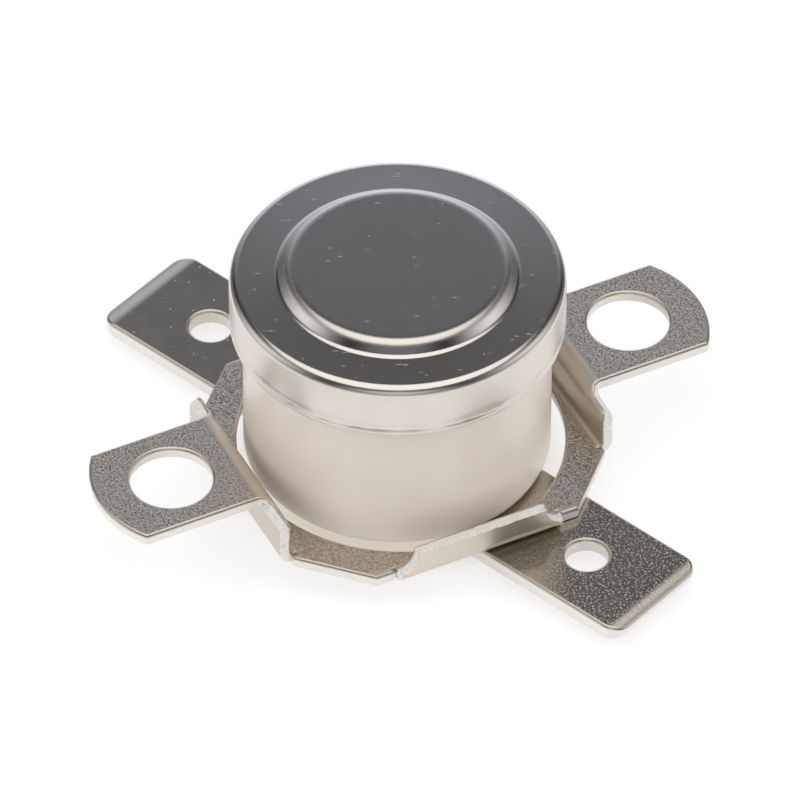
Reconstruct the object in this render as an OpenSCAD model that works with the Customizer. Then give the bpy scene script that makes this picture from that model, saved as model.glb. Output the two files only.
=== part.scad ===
// Snap-disc temperature switch with a loose mounting bracket.
// The body's axis is Z, the sensing face looks up, the tabs lie along X.
// It stands on the heads of its two rivets, at z = 0.

/* [Tab terminals] */
// Width of each push-on tab
tab_w = 6.3; // [5.8:0.1:7]
// Thickness of the tab sheet
tab_t = 0.8; // [0.8:0.05:1.2]
// Distance from the body's axis to a tab's tip
tab_reach = 16.7; // [15.5:0.1:20]
// Diameter of the hole near a tab's tip
tab_hole_d = 2.1; // [1.2:0.1:2.8]
// Distance from a tab's tip to the centre of its hole
tab_hole_inset = 4.55; // [3:0.05:6]
// Radius of the corners of a tab's tip
tab_corner_r = 0.9; // [0.2:0.1:1.5]
// Radius of the lead-in rounding on both faces of a tab's tip
tab_tip_r = 0.35; // [0.05:0.05:0.4]
// Distance from the body's axis to a tab's inner end
tab_inner = 1.5; // [0.8:0.1:1.7]

/* [Rivets] */
// Diameter of a rivet's shank
rivet_shank_d = 2.4; // [1.8:0.1:2.6]
// Diameter of the flat head under a tab
rivet_head_d = 4.4; // [3.6:0.1:4.8]
// Height of the flat head under a tab
rivet_head_h = 0.7; // [0.4:0.05:1.2]
// Diameter of the rolled rim inside the body
rivet_rim_d = 3.0; // [2.8:0.05:3.4]
// Height of the rolled rim inside the body
rivet_rim_h = 0.5; // [0.3:0.05:0.6]
// Diameter of the blind bore in a rivet's rolled end
rivet_bore_d = 1.2; // [0.6:0.1:1.5]
// Depth of the blind bore in a rivet's rolled end
rivet_bore_h = 1.6; // [0.8:0.1:2.5]
// Radial clearance round a rivet's shank
rivet_fit = 0.02; // [0.01:0.01:0.1]
// Gap between a rivet's rim and the upright of the fixed strip
rivet_gap = 0.12; // [0.05:0.01:0.3]

/* [Ceramic body] */
// Diameter of the bare ceramic wall
body_od = 15; // [14.6:0.05:15.3]
// Height of the bare ceramic wall, from the tabs to the cap's crimp
body_h = 8.05; // [7.9:0.05:12]
// Radius of the lower edge of the ceramic
body_edge_r = 0.6; // [0.1:0.05:1]
// Diameter of the switch cavity
cavity_d = 12.6; // [12.3:0.05:13]
// Thickness of the ceramic floor
floor_t = 2.5; // [2:0.1:3]
// Height of the shoulder that the cap is crimped round
shoulder_h = 1.4; // [1:0.05:1.6]
// Height of the pedestal under the contact blade, above the floor
pedestal_h = 2.6; // [2.4:0.05:3.5]
// Width of the pedestal under the contact blade
pedestal_w = 4.6; // [3.6:0.1:6]

/* [Cap] */
// Outside diameter of the cap's skirt
cap_od = 16.3; // [16.2:0.05:17]
// Thickness of the cap's sheet
cap_sheet = 0.3; // [0.2:0.05:0.35]
// Height from the crimped edge to the flat rim
cap_skirt_h = 3.1; // [2.8:0.05:3.6]
// Radius of the rim's outer edge
cap_edge_r = 0.4; // [0.35:0.05:1]
// Diameter of the raised boss at the foot of its step
boss_d = 12; // [10:0.1:12.4]
// Height of the raised boss
boss_h = 0.56; // [0.45:0.01:0.8]
// Slope of the boss's step
boss_slope = 48; // [40:1:70]
// Radius of the rounded edge on top of the boss
boss_top_r = 0.8; // [0.4:0.05:0.9]
// Radius of the hollow at the foot of the boss
boss_foot_r = 0.25; // [0.1:0.05:0.3]
// Clearance between the cap and the ceramic shoulder
cap_fit = 0.05; // [0.02:0.01:0.1]
// Clearance between the crimped lip and the bare ceramic wall
crimp_fit = 0.05; // [0.02:0.01:0.1]

/* [Bimetal disc] */
// Diameter of the bimetal disc
disc_d = 12.6; // [11.5:0.1:13]
// Thickness of the bimetal disc
disc_t = 0.25; // [0.15:0.01:0.3]
// Rise of the cold disc's dome
disc_dome = 0.2; // [0.1:0.01:0.3]
// Free height over the disc's edge
disc_play = 0.1; // [0.05:0.01:0.2]
// Radial room round the disc's edge
disc_room = 0.1; // [0.05:0.01:0.2]

/* [Pin and guide] */
// Diameter of the transfer pin
pin_d = 2; // [1.4:0.1:2.4]
// Radial clearance of the pin in its guide
pin_fit = 0.08; // [0.04:0.01:0.15]
// Free travel between the cold disc and the pin
pin_play = 0.05; // [0.02:0.01:0.1]
// Width of the ledge that seats the disc's edge
ledge_w = 0.8; // [0.4:0.05:1.2]
// Depth of the pocket that the disc snaps into, below its ledge
pocket_drop = 0.5; // [0.35:0.05:0.6]
// Depth of the guide's spigot in the cavity
spigot_h = 0.8; // [0.4:0.05:1.2]
// Radial clearance of the spigot in the cavity
spigot_fit = 0.05; // [0.02:0.01:0.15]

/* [Contacts] */
// Width of the contact blade
blade_w = 3.4; // [3.2:0.1:3.8]
// Thickness of the contact blade
blade_t = 0.2; // [0.1:0.01:0.3]
// Clearance between the pin's foot and the blade
blade_fit = 0.02; // [0.01:0.01:0.05]
// Diameter of a contact button
contact_d = 2.4; // [1.8:0.1:2.5]
// Height of a contact button
contact_h = 0.5; // [0.3:0.05:0.8]
// Distance from the body's axis to the contacts
contact_x = 2.6; // [2.5:0.05:3]
// Diameter of a contact's riveted tail
contact_tail_d = 1.2; // [0.8:0.1:1.4]
// Radial clearance round a contact's tail
contact_fit = 0.03; // [0.01:0.01:0.1]
// Height of the upset head on a contact's tail
contact_upset_h = 0.2; // [0.1:0.05:0.3]
// Width of the fixed strip
strip_w = 3.2; // [2.8:0.1:3.6]
// Thickness of the fixed strip
strip_t = 0.4; // [0.3:0.05:0.5]
// Inside radius of the fixed strip's bends
strip_bend_r = 0.2; // [0.05:0.05:0.3]
// Gap between the fixed strip and the cavity wall
strip_gap = 0.15; // [0.1:0.05:0.3]

/* [Mounting bracket] */
// Turn of the bracket's ears from the tabs
bracket_angle = 67.5; // [0:0.5:180]
// Thickness of the bracket's sheet
bracket_t = 0.6; // [0.4:0.05:0.9]
// Radial room between the ring and the ceramic wall
ring_play = 0.5; // [0.4:0.05:0.6]
// Share of its radial room that the loose ring lies off the body's axis
ring_drift = 0.8; // [0:0.05:0.9]
// Direction in which the loose ring lies off the axis, from the tabs
ring_drift_dir = -21; // [-180:1:180]
// Running clearance between the ring and the tabs
ring_lift = 0.05; // [0.02:0.01:0.2]
// Flat land between the ring's hole and the end walls' bends
land_end = 0.2; // [0.1:0.05:1]
// Flat land between the ring's hole and the side flanges' bends
land_side = 0.1; // [0.05:0.05:1]
// Flat land between the ring's hole and the cut corners
land_corner = 1.75; // [1.2:0.05:2.5]
// Inside radius of the bracket's bends
bend_r = 0.2; // [0.1:0.05:0.4]
// Length of each end wall
wall_w = 10.1; // [9:0.1:10.6]
// Angle by which the walls' shoulders beside the ears are bent out with them
shoulder_turn = 40; // [10:1:60]
// Radius of the shoulders' outer corners
shoulder_corner_r = 0.4; // [0.1:0.05:0.8]
// Radius of the inner corners between the shoulders and the ears
ear_fillet_r = 0.75; // [0.2:0.05:0.9]
// Length of each side flange along its top edge
side_l = 7; // [4:0.1:7.6]
// Height of the side flanges, from the ring's underside
side_h = 1.85; // [1.7:0.05:2.2]
// Radius of the hollow run-out at a side flange's ends
side_runout_r = 0.9; // [0.3:0.05:0.95]
// Width of the ring's plain lip beside each bend
edge_lip = 0.25; // [0.1:0.05:0.4]
// Height of the ears' top faces, from the ring's underside
ear_h = 3.05; // [2.9:0.05:4]
// Width of each ear
ear_w = 6.3; // [5.8:0.1:7]
// Distance from the body's axis to an ear's end
ear_reach = 16.25; // [15.8:0.05:19]
// Radius of an ear's rounded end
ear_end_r = 5.25; // [4:0.05:8]
// Distance between the two ear holes
ear_pitch = 24.8; // [23.8:0.1:25.4]
// Diameter of each ear hole
ear_hole_d = 4; // [3:0.1:4.4]

/* [Hidden] */
$fn = 96;
// Circles of large radius get finer steps
fine_fn = 1440;
// How far a cutter runs past the face that it cuts
over = 1;

// Heights, from the rivet heads up
tab_top = rivet_head_h + tab_t;
floor_z = tab_top + floor_t;
blade_z = floor_z + pedestal_h;
blade_top = blade_z + blade_t;
meet_z = blade_top + contact_h;
arm_z = meet_z + contact_h;
crimp_z = tab_top + body_h;
shoulder_z = crimp_z + cap_sheet;
shoulder_top = shoulder_z + shoulder_h;
rim_z = crimp_z + cap_skirt_h;
rim_in = rim_z - cap_sheet;
ledge_z = rim_in - disc_play - disc_t;
pocket_z = ledge_z - pocket_drop;
ring_z = tab_top + ring_lift;

// Radii of the body, the cap and what fits in them
body_r = body_od / 2;
cap_r = cap_od / 2;
shoulder_r = cap_r - cap_sheet - cap_fit;
lip_r = body_r + crimp_fit;
cavity_r = cavity_d / 2;
disc_r = disc_d / 2;
pocket_r = disc_r + disc_room - ledge_w;
dome_r = (disc_r * disc_r + disc_dome * disc_dome) / (2 * disc_dome);

// The boss's step: its sloped stretch, and how far it reaches inwards
boss_rounds = boss_top_r + boss_foot_r;
boss_run = (boss_h - boss_rounds * (1 - cos(boss_slope))) / sin(boss_slope);
boss_step_w = boss_rounds * sin(boss_slope) + boss_run * cos(boss_slope);
boss_flat_r = boss_d / 2 - boss_step_w;

// Places along the tabs
strip_out = sqrt(cavity_r * cavity_r - strip_w * strip_w / 4) - strip_gap;
strip_in = strip_out - strip_t;
rivet_x = strip_in - rivet_gap - rivet_rim_d / 2;
rivet_hole_r = rivet_shank_d / 2 + rivet_fit;
pedestal_x = rivet_x - rivet_rim_d / 2;
contact_hole_r = contact_tail_d / 2 + contact_fit;

// The bracket's plan
ring_r = body_r + ring_play;
ring_off = ring_drift * ring_play;
end_bend = ring_r + land_end;
side_bend = ring_r + land_side;
bend_out_r = bend_r + bracket_t;
wall_in = end_bend + bend_r;
ear_bend_x = wall_in + bend_out_r;
ear_bend_z = ear_h - bend_out_r;

// What lies outside the arc in a square corner that points to +X +Y
module corner_waste(r) {
    translate([-r, -r])
        difference() {
            square(r + over);
            circle(r);
        }
}

// What fills a square inner corner that opens to +X +Y up to a hollow arc
module corner_fill(r) {
    difference() {
        square(r);
        translate([r, r])
            circle(r);
    }
}

// A quarter of a flat ring about the origin, in the quadrant given by two signs
module quarter_ring(r_in, r_out, side_x, side_y) {
    intersection() {
        difference() {
            circle(r_out);
            circle(r_in);
        }
        scale([side_x, side_y])
            square(r_out);
    }
}

// Everything under the cap's outer surface, as half of its section
module cap_outside() {
    difference() {
        translate([0, crimp_z])
            square([cap_r, cap_skirt_h]);
        translate([cap_r, rim_z])
            corner_waste(cap_edge_r);
        translate([cap_r, crimp_z])
            mirror([0, 1])
                corner_waste(cap_sheet);
    }
    boss_section(0, crimp_z);
}

// Half of the boss's section above a base, at a depth in the sheet
module boss_section(depth, base_z) {
    top_z = rim_z + boss_h - depth;
    top_r = boss_top_r - depth;
    foot_z = rim_z - depth;
    foot_r = boss_foot_r + depth;
    lean = [sin(boss_slope), 1 - cos(boss_slope)];
    difference() {
        union() {
            polygon([
                [0, base_z],
                [boss_d / 2, base_z],
                [boss_d / 2, foot_z],
                [boss_d / 2 - foot_r * lean.x, foot_z + foot_r * lean.y],
                [boss_flat_r + top_r * lean.x, top_z - top_r * lean.y],
                [boss_flat_r, top_z],
                [0, top_z]
            ]);
            translate([boss_flat_r, top_z - top_r])
                circle(top_r);
        }
        translate([boss_d / 2, foot_z + foot_r])
            circle(foot_r);
    }
}

// Everything under the cap's inner surface, as half of its section
module cap_inside() {
    difference() {
        translate([0, shoulder_z])
            square([cap_r - cap_sheet, rim_in - shoulder_z]);
        translate([cap_r - cap_sheet, rim_in])
            corner_waste(cap_edge_r - cap_sheet);
    }
    boss_section(cap_sheet, shoulder_z);
    translate([0, crimp_z - over])
        square([lip_r, cap_skirt_h]);
}

module cap() {
    color("#8f8f92")
        rotate_extrude()
            difference() {
                cap_outside();
                cap_inside();
            }
}

module bimetal_disc() {
    color("#a9894f")
        rotate_extrude()
            intersection() {
                translate([0, ledge_z + disc_dome - dome_r])
                    difference() {
                        circle(dome_r + disc_t, $fn = fine_fn);
                        circle(dome_r, $fn = fine_fn);
                    }
                translate([0, pocket_z])
                    square([disc_r, rim_z - pocket_z]);
            }
}

module pin_guide() {
    color("#d8cfbd")
        rotate_extrude()
            difference() {
                union() {
                    translate([0, shoulder_top])
                        square([shoulder_r, rim_in - shoulder_top]);
                    translate([0, shoulder_top - spigot_h])
                        square([cavity_r - spigot_fit, spigot_h + over / 10]);
                }
                translate([shoulder_r, rim_in])
                    corner_waste(cap_edge_r - cap_sheet);
                translate([0, ledge_z])
                    square([disc_r + disc_room, rim_in - ledge_z + over]);
                translate([0, pocket_z])
                    square([pocket_r, rim_in - pocket_z + over]);
                translate([0, shoulder_top - spigot_h - over])
                    square([pin_d / 2 + pin_fit, rim_in]);
            }
}

module transfer_pin() {
    pin_top = ledge_z + disc_dome - pin_play;
    color("#ece7da")
        translate([0, 0, blade_top + blade_fit])
            cylinder(d = pin_d, h = pin_top - blade_top - blade_fit);
}

// Half of the ceramic's outer section
module body_section() {
    difference() {
        translate([0, tab_top])
            square([body_r, shoulder_top - tab_top]);
        translate([body_r, tab_top])
            mirror([0, 1])
                corner_waste(body_edge_r);
    }
    translate([0, shoulder_z])
        square([shoulder_r, shoulder_h]);
}

module ceramic_body() {
    color("#e6dfcf")
        difference() {
            rotate_extrude()
                body_section();
            difference() {
                translate([0, 0, floor_z])
                    cylinder(r = cavity_r, h = shoulder_top - floor_z + over);
                translate([-cavity_r - over, -pedestal_w / 2, floor_z - over])
                    cube([cavity_r + over - pedestal_x, pedestal_w, blade_z - floor_z + over]);
            }
            for (side = [-1, 1])
                translate([side * rivet_x, 0, tab_top - over])
                    cylinder(r = rivet_hole_r, h = blade_z - tab_top + 2 * over);
        }
}

module contact_blade() {
    color("#c08a4a")
        translate([0, 0, blade_z])
            linear_extrude(blade_t)
                difference() {
                    union() {
                        translate([-rivet_x, 0])
                            circle(d = blade_w);
                        translate([-rivet_x, -blade_w / 2])
                            square([rivet_x + contact_x, blade_w]);
                        translate([contact_x, 0])
                            circle(d = blade_w);
                    }
                    translate([-rivet_x, 0])
                        circle(r = rivet_hole_r);
                    translate([contact_x, 0])
                        circle(contact_hole_r);
                }
}

// A contact button with its face up at z = 0, riveted through a sheet below it
module contact(sheet) {
    tail_z = -contact_h - sheet - contact_upset_h;
    translate([0, 0, -contact_h])
        cylinder(d = contact_d, h = contact_h);
    translate([0, 0, tail_z])
        cylinder(d = contact_tail_d, h = -tail_z - contact_h / 2);
    translate([0, 0, tail_z])
        cylinder(d = contact_d - contact_tail_d / 2, h = contact_upset_h);
}

module moving_contact() {
    color("#dcdcd8")
        translate([contact_x, 0, meet_z])
            contact(blade_t);
}

module fixed_contact() {
    color("#d2d2ce")
        translate([contact_x, 0, meet_z])
            mirror([0, 0, 1])
                contact(strip_t);
}

// Side view of the fixed strip: foot, upright and arm
module strip_profile() {
    arm_end = contact_x - contact_d / 2;
    foot_end = rivet_x - rivet_rim_d / 2;
    inside_h = arm_z - floor_z - strip_t;
    difference() {
        translate([arm_end, floor_z])
            square([strip_out - arm_end, arm_z + strip_t - floor_z]);
        translate([arm_end - over, floor_z + strip_t])
            difference() {
                square([strip_in - arm_end + over, inside_h]);
                translate([strip_in - arm_end + over, inside_h])
                    corner_waste(strip_bend_r);
                translate([strip_in - arm_end + over, 0])
                    mirror([0, 1])
                        corner_waste(strip_bend_r);
            }
        translate([arm_end - over, floor_z - over])
            square([foot_end - arm_end + over, strip_t + inside_h / 2 + over]);
        translate([strip_out, arm_z + strip_t])
            corner_waste(strip_bend_r + strip_t);
        translate([strip_out, floor_z])
            mirror([0, 1])
                corner_waste(strip_bend_r + strip_t);
    }
}

module fixed_strip() {
    color("#b98d58")
        difference() {
            rotate([90, 0, 0])
                linear_extrude(strip_w, center = true)
                    strip_profile();
            translate([rivet_x, 0, floor_z - over])
                cylinder(r = rivet_hole_r, h = strip_t + 2 * over);
            translate([contact_x, 0, arm_z - contact_h])
                cylinder(r = contact_hole_r, h = 2 * contact_h + strip_t);
        }
}

// Side view of a tab, with its rounded tip
module tab_profile() {
    translate([0, rivet_head_h + tab_t / 2])
        difference() {
            translate([0, -tab_t / 2])
                square([tab_reach, tab_t]);
            for (side = [-1, 1])
                scale([1, side])
                    translate([tab_reach, tab_t / 2])
                        corner_waste(tab_tip_r);
        }
}

// A tab that points along +X
module tab() {
    difference() {
        intersection() {
            translate([0, 0, rivet_head_h])
                linear_extrude(tab_t)
                    difference() {
                        translate([tab_inner, -tab_w / 2])
                            square([tab_reach - tab_inner, tab_w]);
                        for (side = [-1, 1])
                            scale([1, side])
                                translate([tab_reach, tab_w / 2])
                                    corner_waste(tab_corner_r);
                    }
            rotate([90, 0, 0])
                linear_extrude(tab_w + over, center = true)
                    tab_profile();
        }
        translate([tab_reach - tab_hole_inset, 0, rivet_head_h - over])
            cylinder(d = tab_hole_d, h = tab_t + 2 * over);
        translate([rivet_x, 0, rivet_head_h - over])
            cylinder(r = rivet_hole_r, h = tab_t + 2 * over);
    }
}

module tab_contact_side() {
    color("#9c9996")
        tab();
}

module tab_blade_side() {
    color("#8a8887")
        rotate(180)
            tab();
}

// A rivet on the Z axis whose rolled rim holds down a stack that ends at grip_z
module rivet(grip_z) {
    end_z = grip_z + rivet_rim_h;
    edge_r = rivet_head_h / 2;
    rotate_extrude()
        difference() {
            union() {
                difference() {
                    square([rivet_head_d / 2, rivet_head_h]);
                    translate([rivet_head_d / 2, 0])
                        mirror([0, 1])
                            corner_waste(edge_r);
                }
                square([rivet_shank_d / 2, end_z]);
                difference() {
                    translate([0, grip_z])
                        square([rivet_rim_d / 2, rivet_rim_h]);
                    translate([rivet_rim_d / 2, end_z])
                        corner_waste(rivet_rim_h / 2);
                }
            }
            translate([0, end_z - rivet_bore_h])
                square([rivet_bore_d / 2, rivet_bore_h + over]);
        }
}

module rivet_blade_side() {
    color("#b5b0a6")
        translate([-rivet_x, 0, 0])
            rivet(blade_top);
}

module rivet_contact_side() {
    color("#b5b0a6")
        translate([rivet_x, 0, 0])
            rivet(floor_z + strip_t);
}

// The flat ring before its hole: cut corners, and room for the bends at its edges
module ring_plan() {
    runout = side_l / 2 + side_runout_r;
    lip_x = end_bend + edge_lip;
    lip_y = side_bend + edge_lip;
    difference() {
        intersection() {
            square([2 * lip_x, 2 * lip_y], center = true);
            rotate(45)
                square(2 * (ring_r + land_corner), center = true);
        }
        for (side = [-1, 1]) {
            scale([1, side])
                translate([-runout, side_bend])
                    square([2 * runout, edge_lip + over]);
            scale([side, 1])
                translate([end_bend, -wall_w / 2])
                    square([edge_lip + over, wall_w]);
        }
    }
}

// Section of a sheet that lies flat up to x = 0 and is bent up there, to a height
module bent_up(height) {
    translate([-land_side / 2, 0])
        square([land_side / 2, bracket_t]);
    translate([0, bend_out_r])
        quarter_ring(bend_r, bend_out_r, 1, -1);
    translate([bend_r, bend_out_r])
        square([bracket_t, height - bend_out_r]);
}

// Section of an end wall, and of the bend above it up to an angle
module wall_section(angle) {
    translate([end_bend, 0])
        bent_up(ear_bend_z);
    translate([ear_bend_x, ear_bend_z])
        intersection() {
            quarter_ring(bend_r, bend_out_r, -1, 1);
            rotate(-angle)
                translate([-2 * bend_out_r, -2 * bend_out_r])
                    square(2 * bend_out_r);
        }
}

// Section of an end: bent up from the ring, then out to the ear
module ear_section() {
    wall_section(90);
    translate([ear_bend_x, ear_h - bracket_t])
        square([ear_reach - ear_bend_x, bracket_t]);
}

// Plan of an ear with its rounded end, and its filleted inner corners at the wall
module ear_plan() {
    centre_x = ear_reach - ear_end_r;
    fillet_x = ear_bend_x - bend_out_r * cos(shoulder_turn);
    intersection() {
        translate([0, -ear_w / 2])
            square([ear_reach, ear_w]);
        union() {
            translate([0, -ear_w / 2])
                square([centre_x, ear_w]);
            translate([centre_x, 0])
                circle(ear_end_r);
        }
    }
    for (side = [-1, 1])
        scale([1, side])
            translate([fillet_x, ear_w / 2])
                corner_fill(ear_fillet_r);
}

// Face view of one shoulder of an end wall, beside the ear, on the +Y side
module shoulder_face() {
    top_z = ear_bend_z + bend_out_r * sin(shoulder_turn);
    difference() {
        translate([ear_w / 2, 0])
            square([(wall_w - ear_w) / 2, top_z]);
        translate([wall_w / 2, top_z])
            corner_waste(shoulder_corner_r);
    }
}

// One end of the bracket, on the +X side: wall, shoulders and ear
module bracket_end() {
    difference() {
        union() {
            intersection() {
                rotate([90, 0, 0])
                    linear_extrude(ear_w + 2 * ear_fillet_r, center = true)
                        ear_section();
                linear_extrude(ear_h)
                    ear_plan();
            }
            for (side = [-1, 1])
                scale([1, side, 1])
                    intersection() {
                        rotate([90, 0, 0])
                            linear_extrude(wall_w, center = true)
                                wall_section(shoulder_turn);
                        rotate([90, 0, 90])
                            linear_extrude(ear_reach)
                                shoulder_face();
                    }
        }
        translate([ear_pitch / 2, 0, -over])
            cylinder(d = ear_hole_d, h = ear_h + 2 * over);
    }
}

// Face view of a side flange with its hollow run-outs
module side_face() {
    foot_h = bend_out_r;
    translate([-side_l / 2, 0])
        square([side_l, side_h]);
    translate([-side_l / 2 - side_runout_r, 0])
        square([side_l + 2 * side_runout_r, foot_h]);
    for (side = [-1, 1])
        scale([side, 1])
            translate([side_l / 2, foot_h])
                corner_fill(side_runout_r);
}

// One side flange, on the +Y side
module bracket_side() {
    length = side_l + 2 * side_runout_r;
    intersection() {
        rotate([90, 0, 90])
            linear_extrude(length, center = true)
                translate([side_bend, 0])
                    bent_up(side_h);
        rotate([90, 0, 0])
            linear_extrude(3 * side_bend, center = true)
                side_face();
    }
}

module mounting_bracket() {
    color("#96918b")
        translate([ring_off * cos(ring_drift_dir), ring_off * sin(ring_drift_dir), ring_z])
            rotate(bracket_angle)
                difference() {
                    union() {
                        linear_extrude(bracket_t)
                            ring_plan();
                        for (turn = [0, 180])
                            rotate(turn) {
                                bracket_end();
                                bracket_side();
                            }
                    }
                    translate([0, 0, -over])
                        cylinder(r = ring_r, h = bracket_t + 2 * over);
                }
}

cap();
bimetal_disc();
pin_guide();
transfer_pin();
ceramic_body();
contact_blade();
moving_contact();
fixed_contact();
fixed_strip();
tab_blade_side();
tab_contact_side();
rivet_blade_side();
rivet_contact_side();
mounting_bracket();
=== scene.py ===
import math

import bmesh
import bpy
from bpy.props import FloatProperty, FloatVectorProperty, IntProperty, PointerProperty
from bpy.types import NodeSocket, Operator, Panel, PropertyGroup
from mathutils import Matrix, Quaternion, Vector, noise


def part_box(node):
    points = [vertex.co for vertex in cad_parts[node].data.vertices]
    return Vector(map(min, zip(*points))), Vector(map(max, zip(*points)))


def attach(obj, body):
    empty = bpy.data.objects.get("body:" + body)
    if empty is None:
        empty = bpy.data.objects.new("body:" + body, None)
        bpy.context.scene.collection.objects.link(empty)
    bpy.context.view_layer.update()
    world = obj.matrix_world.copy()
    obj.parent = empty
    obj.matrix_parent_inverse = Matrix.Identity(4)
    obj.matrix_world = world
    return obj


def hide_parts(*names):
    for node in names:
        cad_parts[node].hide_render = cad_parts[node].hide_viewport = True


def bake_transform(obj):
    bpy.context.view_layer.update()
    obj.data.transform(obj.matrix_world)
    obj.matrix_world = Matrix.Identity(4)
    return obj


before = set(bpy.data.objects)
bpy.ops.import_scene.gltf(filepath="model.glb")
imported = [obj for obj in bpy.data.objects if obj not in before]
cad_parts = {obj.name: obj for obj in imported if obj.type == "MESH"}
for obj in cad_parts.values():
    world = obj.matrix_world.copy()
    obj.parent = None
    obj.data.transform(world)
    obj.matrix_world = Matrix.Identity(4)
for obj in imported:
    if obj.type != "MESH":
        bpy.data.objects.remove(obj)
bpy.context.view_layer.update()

bl_info = {
    "name": "Snap-disc temperature switch",
    "version": (1, 0, 0),
    "blender": (4, 5, 0),
    "location": "3D View > Sidebar > Switch",
    "description": "Dresses the packed switch: drawn cap, glazed ceramic, plated tabs and folded bracket",
    "category": "Object",
}

MM = 0.001  # metres in a millimetre
TOUCH = 1e-6  # millimetres within which two points are one
CREASE = math.radians(20)  # an edge that is bent by more than this stays sharp
ROLL_STEPS = 5  # faces across a rolled sheet edge
TEARS, CHIPS = 2.2, 9.0  # coarse and fine tears in a millimetre of a sheared edge


def mm(metres):
    """A length in metres as millimetres, in which the meshes are drawn."""
    return metres / MM


def length(name, description, millimetres):
    """A property that holds a length."""
    return FloatProperty(name=name, description=description, default=millimetres * MM, unit="LENGTH",
                         precision=6)


def point(name, description, millimetres):
    """A property that holds a place."""
    return FloatVectorProperty(name=name, description=description, size=3, subtype="TRANSLATION",
                               default=tuple(c * MM for c in millimetres), precision=6)


def share(name, description, default):
    """A property that holds a share from 0 to 1."""
    return FloatProperty(name=name, description=description, default=default, min=0, max=1,
                         subtype="FACTOR")


def turn(name, description, degrees):
    """A property that holds an angle."""
    return FloatProperty(name=name, description=description, default=math.radians(degrees),
                         subtype="ANGLE")


def colour(name, description, default):
    """A property that holds a colour."""
    return FloatVectorProperty(name=name, description=description, default=default, size=3, min=0,
                               max=1, subtype="COLOR")


def power(name, description, watts):
    """A property that holds a lamp's power."""
    return FloatProperty(name=name, description=description, default=watts, unit="POWER")


class CapSettings(PropertyGroup):
    """Drawn cap."""
    edge_radius: length("Rim edge radius", "Radius of the rim's outer edge", 0.48)
    boss_radius: length("Boss radius", "Radius of the boss at the foot of its step", 6.0)
    boss_rise: length("Boss rise", "Height of the boss over the rim", 0.56)
    boss_slope: turn("Boss slope", "Slope of the boss's step", 48)
    boss_ease: length("Boss ease radius", "Radius at which the boss's flat top starts to fall", 2.2)
    ease_turn: turn("Boss ease", "Angle over which the boss's flat top starts to fall", 6)
    boss_top: length("Boss edge radius", "Radius of the rounded edge on top of the boss", 0.55)
    boss_foot: length("Boss foot radius", "Radius of the hollow at the foot of the boss", 0.36)
    sheet: length("Sheet", "Thickness of the cap's sheet", 0.3)
    lip_radius: length("Lip radius", "Inner radius of the crimped lip", 7.55)
    rim_fall: length("Rim fall", "How far the rim falls from the boss to its edge", 0.03)
    crimp_wave: length("Crimp wave", "Height of the waves that crimping leaves in the lower edge", 0.12)
    crimp_groove: length("Crimp groove", "Depth of the crimping roll's hollow over the lower edge", 0.1)
    steps: IntProperty(name="Steps", description="Faces round the cap", default=360, min=48)
    metal: colour("Cap metal", "Colour of the satin drawn metal", (0.7, 0.66, 0.605))
    roughness: share("Cap roughness", "Roughness of the cap's flat top", 0.17)
    wall_roughness: share("Wall roughness", "Roughness of the cap's drawn wall", 0.36)
    edge_roughness: share("Boss edge roughness", "Roughness of the boss's worn edge", 0.3)


class CeramicSettings(PropertyGroup):
    """Ceramic body and the small ceramic pieces in it."""
    glaze: colour("Glaze", "Warm off-white of the body", (0.646, 0.582, 0.521))
    shade: colour("Glaze shade", "Slightly darker tone that clouds the body", (0.613, 0.549, 0.483))
    bare: colour("Bare ceramic", "Colour of the unglazed pieces inside", (0.85, 0.82, 0.75))
    gloss: share("Glaze roughness", "Roughness of the glaze", 0.34)
    pin_dome: length("Pin dome", "Radius of the domed foot of the transfer pin", 1.4)
    pin_edge: length("Pin edge", "Radius of the edge at the upper end of the transfer pin", 0.12)


class TabSettings(PropertyGroup):
    """Push-on tabs."""
    corner: length("Corner radius", "Radius of the corners of a tab's tip", 0.9)
    hole: length("Hole radius", "Radius of the hole near the tip", 1.05)
    hole_inset: length("Hole inset", "Distance from the tip to the hole", 4.55)
    rivet_hole: length("Rivet hole", "Radius of the hole for the rivet", 1.22)
    rivet_place: length("Rivet place", "Distance from the axis to a rivet", 3.923)
    edge_roll: length("Edge roll", "Width of the rolled upper edge", 0.15)
    lead_length: length("Lead-in", "Length of the bevel at the front tab's tip", 1.05)
    soft_length: length("Soft lead-in", "Length of the coined step at the back tab's tip", 0.95)
    lead_depth: length("Lead-in depth", "Depth of the bevel on each face of the front tab", 0.22)
    soft_depth: length("Soft lead-in depth", "Depth of the coined step on each face of the back tab", 0.11)


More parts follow.
